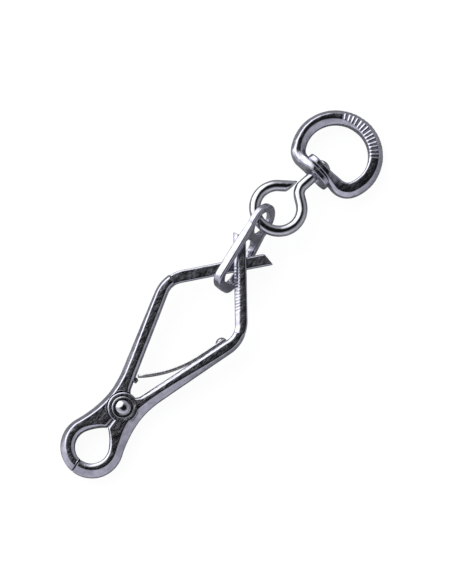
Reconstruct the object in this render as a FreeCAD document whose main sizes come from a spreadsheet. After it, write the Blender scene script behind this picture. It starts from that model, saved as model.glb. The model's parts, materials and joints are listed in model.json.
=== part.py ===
import FreeCAD, Part
import math
import os
import Sketcher
from FreeCAD import Placement, Rotation, Vector

# Self-tightening nose-lead clamp: two forged jaw arms on one rivet, a leaf spring
# between the handles, a slotted link over the crossed handle tips, and a swivel
# eye with its ring.  Lengths are millimetres, angles degrees.
#
# Clamp frame: origin at the pivot, +X from the jaws to the ring, +Y to the left
# arm, +Z out of the front face.  The clamp lies on a table: its jaws, the lower
# edge of the link and the far end of the ring touch the plane z = 0.

DIMENSIONS = {
    # forging of a jaw arm
    "arm_thick": 7.0,
    "jaw_centre": 20.4,
    "jaw_hole_radius": 7.1,
    "jaw_outer_radius": 13.0,
    "jaw_tip_gap": 0.12,
    "throat_gap": 0.3,
    "throat_x": 10.3,
    "jaw_leave_angle": 68.0,
    "hole_leave_angle": 60.0,
    "neck_x": 0.7,
    "neck_half_width": 8.55,
    "handle_x": 12.0,
    "handle_slope": 16.6,
    "handle_taper": 1.3,
    "handle_end_slope": 40.0,
    "handle_width_low": 6.0,
    "handle_width_high": 5.2,
    "corner_outer_radius": 16.0,
    "corner_inner_radius": 7.0,
    "cross_x": 76.7,
    "tip_x": 86.4,
    "tip_slant": 1.2,
    "crotch_run": 6.3,
    "step_x": 54.8,
    "outer_bevel": 2.5,
    "inner_bevel": 0.7,
    # half-lap boss and its rivet
    "lap_radius": 6.5,
    "lap_clearance": 0.2,
    "lap_gap": 0.1,
    "rivet_radius": 2.2,
    "rivet_clearance": 0.05,
    "seat_gap": 0.05,
    "rivet_head_radius": 2.9,
    "rivet_head_rise": 1.6,
    "rivet_head_lip": 0.35,
    "rivet_tail_radius": 3.3,
    "rivet_tail_rise": 1.0,
    "washer_radius": 4.5,
    "washer_thick": 0.7,
    "washer_bevel": 0.3,
    # leaf spring
    "leaf_thick": 1.0,
    "leaf_wide": 5.0,
    "leaf_gap": 0.15,
    "leaf_foot_x": 48.4,
    "leaf_bend_x": 38.5,
    "leaf_tip_x": 14.0,
    "leaf_tip_y": 3.9,
    "leaf_rivet_x": 46.2,
    "leaf_rivet_radius": 1.2,
    "leaf_rivet_depth": 3.0,
    "leaf_head_radius": 2.3,
    "leaf_head_rise": 1.5,
    "lug_x": 12.2,
    "lug_wide": 2.0,
    "lug_y": 2.6,
    "lug_root": 0.4,
    # link
    "link_thick": 3.8,
    "link_foot_x": 63.0,
    "link_slot_start": 66.8,
    "link_slot_end": 86.9,
    "link_slot_wide": 11.0,
    "link_wide": 17.0,
    "link_foot_radius": 6.0,
    "link_slot_radius": 3.8,
    "link_shoulder": 3.5,
    "link_eye_join": 112.0,
    "link_eye_x": 95.4,
    "link_eye_y": 4.35,
    "link_eye_hole": 5.2,
    "link_eye_radius": 8.6,
    "link_bevel": 0.8,
    "link_yaw": 7.6,
    "link_roll": 21.0,
    "link_pitch": 4.05,
    # swivel eye
    "rod_radius": 2.4,
    "eye_radius": 9.8,
    "eye_drop": 0.4,
    "eye_upper_angle": 45.0,
    "eye_lower_angle": 30.0,
    "eye_bend_radius": 5.0,
    "eye_slit": 0.25,
    "eye_limb": 8.0,
    "eye_yaw": -8.1,
    "eye_pitch": -6.84,
    "head_radius": 3.5,
    "head_rise": 2.2,
    "head_lip": 0.6,
    # swivel ring
    "ring_centre": 34.0,
    "ring_outer_radius": 19.3,
    "ring_inner_radius": 13.1,
    "ring_thick": 5.6,
    "ring_bevel": 1.5,
    "ring_half_sweep": 128.0,
    "strap_thick": 3.0,
    "strap_wide": 11.6,
    "strap_face": 19.4,
    "strap_end": 7.2,
    "strap_plate_end": 5.4,
    "shank_end_in": 7.7,
    "shank_clearance": 0.1,
    # lie of the clamp on the table
    "clamp_pitch": 2.92,
    "pivot_height": 5.065,
    "centre_x": 62.114,
    "centre_y": -0.1,
}


def fill_sheet(doc):
    """Keep every driving dimension in one spreadsheet, each under its own alias."""
    sheet = doc.addObject("Spreadsheet::Sheet", "Dimensions")
    for row, (name, value) in enumerate(DIMENSIONS.items(), start=1):
        sheet.set(f"A{row}", name)
        sheet.set(f"B{row}", str(value))
        sheet.setAlias(f"B{row}", name)
    doc.recompute()
    return sheet


doc = FreeCAD.newDocument("clamp")
sheet = fill_sheet(doc)


def dim(name):
    return float(sheet.get(name))


def unit(degrees):
    """Unit vector in the XY plane at an angle from +X."""
    return Vector(math.cos(math.radians(degrees)), math.sin(math.radians(degrees)), 0)


def arc_from_tangent(start, degrees, end):
    """Arc that leaves start at an angle and ends at end."""
    chord = end - start
    turn = math.atan2(chord.y, chord.x) - math.radians(degrees)
    sagitta = chord.Length / 2 * math.tan(turn / 2)
    side = Vector(chord.y, -chord.x, 0).normalize()
    middle = start + chord / 2 + side * sagitta
    return Part.Arc(start, middle, end)


def line(start, end):
    return Part.LineSegment(start, end)


def origin_plane(body, role):
    return next(item for item in body.Origin.OriginFeatures if item.Role == role)


def add_body(label):
    body = doc.addObject("PartDesign::Body", label)
    body.Label = label
    return body


def add_sketch(body, name, edges, role="XY_Plane"):
    """Sketch on one of the body's own origin planes."""
    sketch = body.newObject("Sketcher::SketchObject", name)
    sketch.AttachmentSupport = [(origin_plane(body, role), "")]
    sketch.MapMode = "FlatFace"
    sketch.addGeometry(edges, False)
    return sketch


def circle_sketch(body, name, centre, radius):
    """Circle whose radius follows a spreadsheet expression."""
    edge = Part.Circle(centre, Vector(0, 0, 1), 1.0)
    sketch = add_sketch(body, name, [edge])
    sketch.addConstraint(Sketcher.Constraint("Radius", 0, 1.0))
    sketch.setExpression("Constraints[0]", radius)
    return sketch


def pad(body, name, sketch, length, offset=None, symmetric=False, reverse=False):
    """Pad by an expression; a one-sided pad may start at an offset from its plane."""
    feature = body.newObject("PartDesign::Pad", name)
    feature.Profile = sketch
    feature.setExpression("Length", length)
    feature.Midplane = symmetric
    feature.Reversed = reverse
    if offset is not None:
        sketch.setExpression("AttachmentOffset.Base.z", offset)
    return feature


def pocket(body, name, sketch, length, offset=None, symmetric=False, reverse=False):
    """Pocket by an expression; the removed volume is checked."""
    before = body.Tip.Shape.Volume if body.Tip else 0
    feature = body.newObject("PartDesign::Pocket", name)
    feature.Profile = sketch
    feature.setExpression("Length", length)
    feature.Midplane = symmetric
    feature.Reversed = reverse
    if offset is not None:
        sketch.setExpression("AttachmentOffset.Base.z", offset)
    doc.recompute()
    if feature.Shape.Volume >= before:
        raise RuntimeError(f"{name} removed nothing")
    return feature


def bevel(body, name, base, edges, size):
    """Chamfer of the named edges of the last feature."""
    feature = body.newObject("PartDesign::Chamfer", name)
    feature.Base = (base, edges)
    feature.setExpression("Size", size)
    doc.recompute()
    return feature


def polygon(points):
    return [line(a, b) for a, b in zip(points, points[1:] + points[:1])]


def rectangle(low_x, low_y, high_x, high_y):
    return polygon([Vector(low_x, low_y, 0), Vector(high_x, low_y, 0),
                    Vector(high_x, high_y, 0), Vector(low_x, high_y, 0)])


def round_corner(centre, radius, turn):
    """Quarter arc about a centre, from the angle turn on to turn + 90."""
    return Part.Arc(centre + unit(turn) * radius, centre + unit(turn + 45) * radius,
                    centre + unit(turn + 90) * radius)


def mirrored(point):
    return Vector(point.x, -point.y, 0)


# ---------------------------------------------------------------- jaw arms

def corner_points(low, slope, high, end_slope, radius):
    """Tangent points of the rounded corner between two lines through low and high."""
    first = unit(slope)
    second = unit(-end_slope)
    gap = high - low
    along = (gap.x * second.y - gap.y * second.x) / (first.x * second.y - first.y * second.x)
    corner = low + first * along
    reach = radius * math.tan(math.radians((slope + end_slope) / 2))
    return corner - first * reach, corner + second * reach


def handle_start():
    """Where the straight run of the left handle's outer side begins."""
    run = dim("handle_x") - dim("neck_x")
    rise = run * math.tan(math.radians(dim("handle_slope") / 2))
    return Vector(dim("handle_x"), dim("neck_half_width") + rise, 0)


def inner_start():
    return handle_start() + unit(dim("handle_slope") - 90) * dim("handle_width_low")


def inner_slope():
    return dim("handle_slope") + dim("handle_taper")


def handle_point(x_value):
    """Point on the inner side of the left handle's straight run."""
    start = inner_start()
    return start + Vector(1, math.tan(math.radians(inner_slope())), 0) * (x_value - start.x)


def along_end(start, x_value):
    """Point at x_value on a line down the left handle's crossing end."""
    down = unit(-dim("handle_end_slope"))
    return start + down * ((x_value - start.x) / down.x)


def arm_outline():
    """Outline of the left arm, clockwise from its jaw tip round the outside."""
    centre = Vector(-dim("jaw_centre"), 0, 0)
    inner = dim("jaw_hole_radius")
    outer = dim("jaw_outer_radius")
    tip_gap = dim("jaw_tip_gap")
    slope = dim("handle_slope")
    end_slope = dim("handle_end_slope")

    tip_outer = centre + Vector(-math.sqrt(outer**2 - tip_gap**2), tip_gap, 0)
    tip_inner = centre + Vector(-math.sqrt(inner**2 - tip_gap**2), tip_gap, 0)
    leave_angle = dim("jaw_leave_angle")
    jaw_leave = centre + unit(leave_angle) * outer
    neck = Vector(dim("neck_x"), dim("neck_half_width"), 0)

    cross = Vector(dim("cross_x"), 0, 0)
    half = unit(90 - end_slope) * dim("handle_width_high") / 2
    outer_corner = corner_points(handle_start(), slope, cross + half, end_slope,
                                 dim("corner_outer_radius"))
    inner_corner = corner_points(inner_start(), inner_slope(), cross - half, end_slope,
                                 dim("corner_inner_radius"))
    tip_high = along_end(cross + half, dim("tip_x"))
    tip_low = along_end(cross - half, dim("tip_x") - dim("tip_slant"))

    crotch = inner_start() - unit(inner_slope()) * dim("crotch_run")
    throat = Vector(-dim("throat_x"), dim("throat_gap"), 0)
    hole_angle = dim("hole_leave_angle")
    hole_leave = centre + unit(hole_angle) * inner
    under_plate = dim("lap_radius") * 0.8
    return [
        Part.Arc(tip_outer, centre + unit((180 + leave_angle) / 2) * outer, jaw_leave),
        arc_from_tangent(jaw_leave, leave_angle - 90, neck),
        arc_from_tangent(neck, 0, handle_start()),
        line(handle_start(), outer_corner[0]),
        arc_from_tangent(outer_corner[0], slope, outer_corner[1]),
        line(outer_corner[1], tip_high),
        line(tip_high, tip_low),
        line(tip_low, inner_corner[1]),
        arc_from_tangent(inner_corner[1], 180 - end_slope, inner_corner[0]),
        line(inner_corner[0], crotch),
        line(crotch, Vector(under_plate, dim("throat_gap"), 0)),
        line(Vector(under_plate, dim("throat_gap"), 0), throat),
        arc_from_tangent(hole_leave, hole_angle - 90, throat),
        Part.Arc(hole_leave, centre + unit((180 + hole_angle) / 2) * inner, tip_inner),
        line(tip_inner, tip_outer),
    ]


REACH = 60.0
OUTSIDE = range(0, 6)
INSIDE = (7, 8, 9, 12, 13)


def edges_along(shape, outline, picks, level):
    """Names of the shape's edges that follow the picked outline pieces at z = +-level."""
    middles = []
    for pick in picks:
        edge = outline[pick].toShape()
        middles.append(edge.valueAt((edge.FirstParameter + edge.LastParameter) / 2))
    names = []
    for number, edge in enumerate(shape.Edges, start=1):
        point = edge.valueAt((edge.FirstParameter + edge.LastParameter) / 2)
        flat = Vector(point.x, point.y, 0)
        on_face = abs(abs(point.z) - level) < 1e-4
        if on_face and any(flat.distanceToPoint(middle) < 1e-3 for middle in middles):
            names.append(f"Edge{number}")
    return names


def jaw_arm(label):
    """One forged arm: half of the jaw ring, lap boss, handle and thin crossing end."""
    body = add_body(label)
    outline = arm_outline()
    sketch = add_sketch(body, label + "_outline", outline)
    forging = pad(body, label + "_forging", sketch, "Dimensions.arm_thick", symmetric=True)
    doc.recompute()
    level = dim("arm_thick") / 2
    outside = edges_along(forging.Shape, outline, OUTSIDE, level)
    rounded = bevel(body, label + "_outer_bevel", forging, outside, "Dimensions.outer_bevel")
    inside = edges_along(rounded.Shape, outline, INSIDE, level)
    bevel(body, label + "_inner_bevel", rounded, inside, "Dimensions.inner_bevel")

    step = add_sketch(body, label + "_step", rectangle(dim("step_x"), -REACH, dim("step_x") + REACH, REACH))
    pocket(body, label + "_thin_end", step, "Dimensions.arm_thick",
           offset="-Dimensions.lap_gap", reverse=True)
    recess = circle_sketch(body, label + "_recess", Vector(),
                           "Dimensions.lap_radius + Dimensions.lap_clearance")
    pocket(body, label + "_lap_recess", recess, "Dimensions.arm_thick",
           offset="-Dimensions.lap_gap", reverse=True)
    plate = circle_sketch(body, label + "_plate", Vector(), "Dimensions.lap_radius")
    pad(body, label + "_lap_plate", plate, "Dimensions.arm_thick / 2 - Dimensions.lap_gap",
        offset="-Dimensions.arm_thick / 2")
    doc.recompute()
    hole = circle_sketch(body, label + "_hole", Vector(),
                         "Dimensions.rivet_radius + Dimensions.rivet_clearance")
    pocket(body, label + "_rivet_hole", hole, "2 * Dimensions.arm_thick", symmetric=True)
    return body


def add_spring_lug(body):
    """Small keeper on the left handle that stops the spring's tip."""
    low = dim("lug_x") - dim("lug_wide") / 2
    high = dim("lug_x") + dim("lug_wide") / 2
    root = handle_point(dim("lug_x")).y + dim("lug_root")
    sketch = add_sketch(body, "lug_outline", rectangle(low, dim("lug_y"), high, root))
    pad(body, "spring_lug", sketch, "Dimensions.leaf_wide", symmetric=True)


def rivet_seat():
    """Placement on the right handle's inner side, with +Z pointing off the handle."""
    face = mirrored(handle_point(dim("leaf_rivet_x")))
    return Placement(face, Rotation(Vector(0, 0, 1), unit(90 - inner_slope())))


def add_leaf_rivet_hole(body):
    """Blind hole in the handle's inner side that takes the spring's rivet."""
    face = handle_point(dim("leaf_rivet_x"))
    hole = body.newObject("PartDesign::SubtractiveCylinder", "leaf_rivet_hole")
    hole.setExpression("Radius", "Dimensions.leaf_rivet_radius")
    hole.setExpression("Height", "Dimensions.leaf_rivet_depth")
    hole.Placement = Placement(face, Rotation(Vector(0, 0, 1), unit(inner_slope() + 90)))
    doc.recompute()


# ------------------------------------------------------- rivet, washer, spring

def revolve(body, name, profile, role="XZ_Plane"):
    """Full turn of a closed profile about the sketch's vertical axis."""
    sketch = add_sketch(body, name + "_profile", profile, role)
    feature = body.newObject("PartDesign::Revolution", name)
    feature.Profile = sketch
    feature.ReferenceAxis = (sketch, ["V_Axis"])
    feature.Angle = 360
    return feature


def dome_arc(radius, base, top):
    """Arc of a spherical dome from its rim (radius, base) to its pole (0, top)."""
    rise = top - base
    sphere = (radius**2 + rise**2) / (2 * abs(rise))
    half_angle = math.asin(radius / sphere) / 2
    drop = math.copysign(sphere * (1 - math.cos(half_angle)), rise)
    middle = Vector(sphere * math.sin(half_angle), top - drop, 0)
    return Part.Arc(Vector(radius, base, 0), middle, Vector(0, top, 0))


def pivot_rivet():
    """Rivet through both lap plates: domed head in front, low peened tail behind."""
    body = add_body("pivot_rivet")
    radius = dim("rivet_radius")
    front = dim("arm_thick") / 2 + dim("washer_thick") + 2 * dim("seat_gap")
    back = -dim("arm_thick") / 2 - dim("seat_gap")
    head = dim("rivet_head_radius")
    lip = front + dim("rivet_head_lip")
    top = front + dim("rivet_head_rise")
    tail = dim("rivet_tail_radius")
    bottom = back - dim("rivet_tail_rise")
    profile = [
        line(Vector(0, bottom, 0), Vector(0, top, 0)),
        dome_arc(head, lip, top),
        line(Vector(head, lip, 0), Vector(head, front, 0)),
        line(Vector(head, front, 0), Vector(radius, front, 0)),
        line(Vector(radius, front, 0), Vector(radius, back, 0)),
        line(Vector(radius, back, 0), Vector(tail, back, 0)),
        dome_arc(tail, back, bottom),
    ]
    revolve(body, "rivet", profile)
    return body


def pivot_washer():
    """Flat washer between the rivet's head and the front lap plate."""
    body = add_body("pivot_washer")
    low = dim("arm_thick") / 2 + dim("seat_gap")
    high = low + dim("washer_thick")
    inner = dim("rivet_radius") + dim("rivet_clearance")
    outer = dim("washer_radius")
    slope = dim("washer_bevel")
    profile = polygon([Vector(inner, low, 0), Vector(outer, low, 0), Vector(outer, high - slope, 0),
                       Vector(outer - slope, high, 0), Vector(inner, high, 0)])
    revolve(body, "washer", profile)
    return body


def leaf_outline():
    """Side view of the strip: straight foot on the right handle, then one long bow."""
    half = dim("leaf_thick") / 2
    start = 180 - inner_slope()
    lift = unit(90 - inner_slope()) * (half + dim("leaf_gap"))
    foot = mirrored(handle_point(dim("leaf_foot_x"))) + lift
    bend = mirrored(handle_point(dim("leaf_bend_x"))) + lift
    tip = Vector(dim("leaf_tip_x"), dim("leaf_tip_y"), 0)
    chord = tip - bend
    end = 2 * math.degrees(math.atan2(chord.y, chord.x)) - start
    off_start = unit(start + 90) * half
    off_end = unit(end + 90) * half
    return [
        line(foot + off_start, bend + off_start),
        arc_from_tangent(bend + off_start, start, tip + off_end),
        line(tip + off_end, tip - off_end),
        arc_from_tangent(tip - off_end, end + 180, bend - off_start),
        line(bend - off_start, foot - off_start),
        line(foot - off_start, foot + off_start),
    ]


def leaf_spring():
    """Flat strip riveted to the right handle, bowed across to the left one."""
    body = add_body("leaf_spring")
    sketch = add_sketch(body, "leaf_outline", leaf_outline())
    pad(body, "leaf", sketch, "Dimensions.leaf_wide", symmetric=True)
    doc.recompute()
    hole = body.newObject("PartDesign::SubtractiveCylinder", "leaf_hole")
    hole.setExpression("Radius", "Dimensions.leaf_rivet_radius + Dimensions.rivet_clearance")
    hole.setExpression("Height", "6 * Dimensions.leaf_thick")
    hole.Placement = rivet_seat() * Placement(Vector(0, 0, -3 * dim("leaf_thick")), Rotation())
    return body


def leaf_rivet():
    """Small domed rivet that holds the spring's foot on the right handle."""
    body = add_body("leaf_rivet")
    radius = dim("leaf_rivet_radius") - dim("seat_gap") / 2
    low = 4 * dim("seat_gap") - dim("leaf_rivet_depth")
    seat = dim("leaf_thick") + dim("leaf_gap") + dim("seat_gap")
    head = dim("leaf_head_radius")
    top = seat + dim("leaf_head_rise")
    profile = [
        line(Vector(0, low, 0), Vector(0, top, 0)),
        dome_arc(head, seat, top),
        line(Vector(head, seat, 0), Vector(radius, seat, 0)),
        line(Vector(radius, seat, 0), Vector(radius, low, 0)),
        line(Vector(radius, low, 0), Vector(0, low, 0)),
    ]
    revolve(body, "small_rivet", profile)
    return body


# ------------------------------------------------------------------------ link

def link_outline():
    """Outer edge of the link about its eye: square foot, shoulders and round eye."""
    foot = dim("link_foot_x") - dim("link_eye_x")
    half = dim("link_wide") / 2
    radius = dim("link_foot_radius")
    high = round_corner(Vector(foot + radius, half - radius, 0), radius, 90)
    low = round_corner(Vector(foot + radius, radius - half, 0), radius, 180)
    shoulder = Vector(dim("link_slot_end") - dim("link_eye_x") - dim("link_shoulder"), half, 0)
    eye = dim("link_eye_radius")
    join = unit(dim("link_eye_join")) * eye
    return [
        high,
        line(high.EndPoint, low.StartPoint),
        low,
        line(low.EndPoint, mirrored(shoulder)),
        line(mirrored(shoulder), mirrored(join)),
        Part.Arc(mirrored(join), Vector(eye, 0, 0), join),
        line(join, shoulder),
        line(shoulder, high.StartPoint),
    ]


def slot_outline():
    """Long slot with round corners, about the link's eye."""
    start = dim("link_slot_start") - dim("link_eye_x")
    end = dim("link_slot_end") - dim("link_eye_x")
    side = dim("link_slot_wide") / 2
    radius = dim("link_slot_radius")
    centres = [
        Vector(end - radius, side - radius, 0),
        Vector(start + radius, side - radius, 0),
        Vector(start + radius, radius - side, 0),
        Vector(end - radius, radius - side, 0),
    ]
    corners = [round_corner(centre, radius, 90 * turn) for turn, centre in enumerate(centres)]
    edges = []
    for corner, following in zip(corners, corners[1:] + corners[:1]):
        edges += [corner, line(corner.EndPoint, following.StartPoint)]
    return edges


def slotted_link():
    """Flat link: a long slot over the handle ends and a round eye for the swivel."""
    body = add_body("link")
    outline = link_outline()
    sketch = add_sketch(body, "link_outline", outline)
    plate = pad(body, "link_plate", sketch, "Dimensions.link_thick", symmetric=True)
    doc.recompute()
    rim = edges_along(plate.Shape, outline, range(len(outline)), dim("link_thick") / 2)
    bevel(body, "link_rim", plate, rim, "Dimensions.link_bevel")
    slot = add_sketch(body, "slot_outline", slot_outline())
    pocket(body, "link_slot", slot, "2 * Dimensions.link_thick", symmetric=True)
    eye = circle_sketch(body, "link_eye_outline", Vector(), "Dimensions.link_eye_hole")
    pocket(body, "link_eye_hole", eye, "2 * Dimensions.link_thick", symmetric=True)
    return body


# ------------------------------------------------------------------ swivel eye

def add_upper_limb(body, top, direction):
    """Straight end of the rod, cut off where it meets the shank."""
    limb = body.newObject("PartDesign::AdditiveCylinder", "eye_upper_limb")
    limb.setExpression("Radius", "Dimensions.rod_radius")
    limb.setExpression("Height", "Dimensions.eye_limb")
    limb.Placement = Placement(top, Rotation(Vector(0, 0, 1), unit(direction)))
    doc.recompute()
    reach = 2 * dim("eye_limb")
    seat = dim("rod_radius") + dim("eye_slit")
    trim = add_sketch(body, "eye_trim", rectangle(top.x - reach, seat - reach, top.x + reach, seat))
    pocket(body, "eye_cut_end", trim, "6 * Dimensions.rod_radius", symmetric=True)


def add_peened_head(body, seat):
    """Riveted-over end of the shank, inside the ring."""
    head = dim("head_radius")
    lip = seat + dim("head_lip")
    top = seat + dim("head_rise")
    dome = [
        line(Vector(0, seat, 0), Vector(head, seat, 0)),
        line(Vector(head, seat, 0), Vector(head, lip, 0)),
        dome_arc(head, lip, top),
        line(Vector(0, top, 0), Vector(0, seat, 0)),
    ]
    profile = add_sketch(body, "head_profile", dome)
    profile.AttachmentOffset = Placement(Vector(), Rotation(Vector(0, 0, 1), -90))
    peen = body.newObject("PartDesign::Revolution", "peened_head")
    peen.Profile = profile
    peen.ReferenceAxis = (profile, ["V_Axis"])
    peen.Angle = 360


def swivel_eye():
    """Round rod bent into an eye, with a straight shank peened over inside the ring."""
    body = add_body("swivel_eye")
    radius = dim("eye_radius")
    centre = Vector(radius, -dim("eye_drop"), 0)
    upper = dim("eye_upper_angle")
    lower = dim("eye_lower_angle")
    top = centre + unit(upper) * radius
    bottom = centre + unit(-lower) * radius
    heading = 90 - lower
    corner = bottom + unit(heading) * (-bottom.y / math.sin(math.radians(heading)))
    reach = dim("eye_bend_radius") * math.tan(math.radians(heading / 2))
    leave = corner - unit(heading) * reach
    join = corner + Vector(reach, 0, 0)
    shank_end = Vector(radius + dim("ring_centre") - dim("shank_end_in"), 0, 0)
    add_upper_limb(body, top, upper - 90)

    path = [
        line(shank_end, join),
        arc_from_tangent(join, 180, leave),
        line(leave, bottom),
        Part.Arc(bottom, centre - Vector(radius, 0, 0), top),
    ]
    spine = add_sketch(body, "eye_path", path)
    section = circle_sketch(body, "rod_section", Vector(), "Dimensions.rod_radius")
    section.AttachmentSupport = [(origin_plane(body, "YZ_Plane"), "")]
    section.AttachmentOffset = Placement(Vector(0, 0, shank_end.x), Rotation())
    doc.recompute()
    pipe = body.newObject("PartDesign::AdditivePipe", "eye_rod")
    pipe.Profile = section
    pipe.Spine = spine
    doc.recompute()
    add_peened_head(body, shank_end.x)
    return body


# ----------------------------------------------------------------- swivel ring

def add_ring_bar(body):
    """Bar of eight-sided section, bent round except for the gap at its base."""
    outer = dim("ring_outer_radius")
    inner = dim("ring_inner_radius")
    half = dim("ring_thick") / 2
    cut = dim("ring_bevel")
    section = polygon([
        Vector(inner + cut, -half, 0), Vector(outer - cut, -half, 0), Vector(outer, cut - half, 0),
        Vector(outer, half - cut, 0), Vector(outer - cut, half, 0), Vector(inner + cut, half, 0),
        Vector(inner, half - cut, 0), Vector(inner, cut - half, 0)])
    profile = add_sketch(body, "ring_section", section, "XZ_Plane")
    bar = body.newObject("PartDesign::Revolution", "ring_bar")
    bar.Profile = profile
    bar.ReferenceAxis = (profile, ["V_Axis"])
    bar.setExpression("Angle", "2 * Dimensions.ring_half_sweep")
    bar.Midplane = True
    doc.recompute()


def strap_outlines():
    """The two ends of the bar, brought in and laid one on the other across the shank."""
    sink = 0.1
    sweep = dim("ring_half_sweep")
    outer_start = unit(sweep) * (dim("ring_outer_radius") - sink)
    inner_start = unit(sweep) * (dim("ring_inner_radius") + sink)
    face = dim("strap_face") - dim("ring_centre")
    lap = face + dim("strap_thick")
    back = lap + dim("strap_thick")
    end = dim("strap_end")
    shoulder = dim("strap_plate_end") * 0.75
    step = 0.3
    outer_strap = [
        arc_from_tangent(outer_start, sweep + 90, Vector(face, shoulder, 0)),
        line(Vector(face, shoulder, 0), Vector(face, -end, 0)),
        line(Vector(face, -end, 0), Vector(lap, -end, 0)),
        line(Vector(lap, -end, 0), Vector(lap, end, 0)),
        line(Vector(lap, end, 0), inner_start),
        line(inner_start, outer_start),
    ]
    turn_in = Vector(face + step, -end - step, 0)
    inner_strap = [
        arc_from_tangent(mirrored(outer_start), 270 - sweep, turn_in),
        line(turn_in, Vector(lap, -end - step, 0)),
        line(Vector(lap, -end - step, 0), Vector(lap, end, 0)),
        line(Vector(lap, end, 0), Vector(back, end, 0)),
        line(Vector(back, end, 0), Vector(back, -shoulder, 0)),
        line(Vector(back, -shoulder, 0), mirrored(inner_start)),
        line(mirrored(inner_start), mirrored(outer_start)),
    ]
    return {"outer_strap": outer_strap, "inner_strap": inner_strap}


def swivel_ring():
    """Forged bar bent round; its flattened ends lap at the base and take the shank."""
    body = add_body("swivel_ring")
    add_ring_bar(body)
    for name, outline in strap_outlines().items():
        sketch = add_sketch(body, name + "_outline", outline)
        pad(body, name, sketch, "Dimensions.ring_thick", symmetric=True)
        doc.recompute()
    face = dim("strap_face") - dim("ring_centre")
    end = dim("strap_plate_end")
    plates = add_sketch(body, "strap_outline", rectangle(face, -end, face + 2 * dim("strap_thick"), end))
    pad(body, "strap_plates", plates, "Dimensions.strap_wide", symmetric=True)
    doc.recompute()
    hole = circle_sketch(body, "shank_outline", Vector(),
                         "Dimensions.rod_radius + Dimensions.shank_clearance")
    hole.AttachmentSupport = [(origin_plane(body, "YZ_Plane"), "")]
    doc.recompute()
    pocket(body, "shank_hole", hole, "Dimensions.ring_outer_radius")
    return body


# -------------------------------------------------------------------- assembly

def turned(x_turn, y_turn, z_turn):
    """Turn about X, then Y, then Z."""
    about_x = Rotation(Vector(1, 0, 0), x_turn)
    about_y = Rotation(Vector(0, 1, 0), y_turn)
    about_z = Rotation(Vector(0, 0, 1), z_turn)
    return about_z * about_y * about_x


table = Placement(Vector(-dim("centre_x"), -dim("centre_y"), dim("pivot_height")),
                  turned(0, -dim("clamp_pitch"), 0))
eye_height = (dim("link_eye_x") - dim("cross_x")) * math.tan(
    math.radians(dim("link_pitch") - dim("clamp_pitch")))
eye_point = Vector(dim("link_eye_x"), dim("link_eye_y"), eye_height)
link_place = Placement(eye_point, turned(90 - dim("link_roll"), dim("clamp_pitch") - dim("link_pitch"),
                                         dim("link_yaw")))
eye_place = Placement(eye_point, turned(0, dim("clamp_pitch") - dim("eye_pitch"), dim("eye_yaw")))
ring_place = eye_place * Placement(Vector(dim("eye_radius") + dim("ring_centre"), 0, 0), Rotation())

left = jaw_arm("left_jaw_arm")
add_spring_lug(left)
right = jaw_arm("right_jaw_arm")
add_leaf_rivet_hole(right)
parts = {
    left: Placement(),
    right: Placement(Vector(), Rotation(Vector(1, 0, 0), 180)),
    pivot_rivet(): Placement(),
    pivot_washer(): Placement(),
    leaf_spring(): Placement(),
    leaf_rivet(): rivet_seat(),
    slotted_link(): link_place,
    swivel_eye(): eye_place,
    swivel_ring(): ring_place,
}
for part, place in parts.items():
    part.Placement = table * place
doc.recompute()

for item in doc.Objects:
    state = getattr(item, "State", [])
    if "Invalid" in state or "Error" in state:
        raise RuntimeError(f"{item.Name} failed: {state}")
os.makedirs("parts", exist_ok=True)
for part in parts:
    if part.Shape.isNull() or not part.Shape.isValid():
        raise RuntimeError(f"{part.Label} has no valid shape")
    part.Shape.exportStep(f"parts/{part.Label}.step")
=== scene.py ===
import json
import math

import bpy
import bmesh
from mathutils import Matrix, Vector, noise


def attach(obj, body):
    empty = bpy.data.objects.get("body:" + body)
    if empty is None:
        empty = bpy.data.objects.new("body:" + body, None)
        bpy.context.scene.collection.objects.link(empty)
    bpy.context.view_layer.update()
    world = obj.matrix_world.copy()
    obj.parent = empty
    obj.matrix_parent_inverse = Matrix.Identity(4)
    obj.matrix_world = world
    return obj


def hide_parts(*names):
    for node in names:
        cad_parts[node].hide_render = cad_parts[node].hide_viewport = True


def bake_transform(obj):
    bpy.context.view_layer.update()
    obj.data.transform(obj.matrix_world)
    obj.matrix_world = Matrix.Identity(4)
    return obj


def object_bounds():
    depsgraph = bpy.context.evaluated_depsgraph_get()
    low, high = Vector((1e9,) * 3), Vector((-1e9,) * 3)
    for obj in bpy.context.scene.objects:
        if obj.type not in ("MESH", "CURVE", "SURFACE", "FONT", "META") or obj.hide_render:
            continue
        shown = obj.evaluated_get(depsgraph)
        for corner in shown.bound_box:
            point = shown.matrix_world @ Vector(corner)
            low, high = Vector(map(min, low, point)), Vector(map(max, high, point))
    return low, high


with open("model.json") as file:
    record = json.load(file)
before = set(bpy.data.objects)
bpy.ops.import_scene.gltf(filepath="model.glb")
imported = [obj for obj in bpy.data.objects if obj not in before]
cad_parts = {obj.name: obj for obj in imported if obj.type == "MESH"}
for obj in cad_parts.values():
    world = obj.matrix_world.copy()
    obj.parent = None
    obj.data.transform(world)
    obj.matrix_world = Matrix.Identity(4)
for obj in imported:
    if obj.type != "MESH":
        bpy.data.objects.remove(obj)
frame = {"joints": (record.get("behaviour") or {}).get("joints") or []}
cad_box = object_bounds()

# Shapes are drawn in millimetres in the frame of their own part and placed by the
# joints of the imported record.  Angles are degrees.

MM = 0.001
THROUGH = 10.0
WELD = 1e-4
PLATE_WELD = 1e-3
SURFACE_IN = 0.7


def joint(name):
    return next(j for j in frame["joints"] if j["name"] == name)


def axes(along, across, out, origin):
    """Matrix from a part's millimetre frame to the row frame."""
    turn = Matrix((along, across, out)).transposed().to_4x4()
    return Matrix.Translation(origin) @ turn @ Matrix.Scale(MM, 4)


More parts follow.
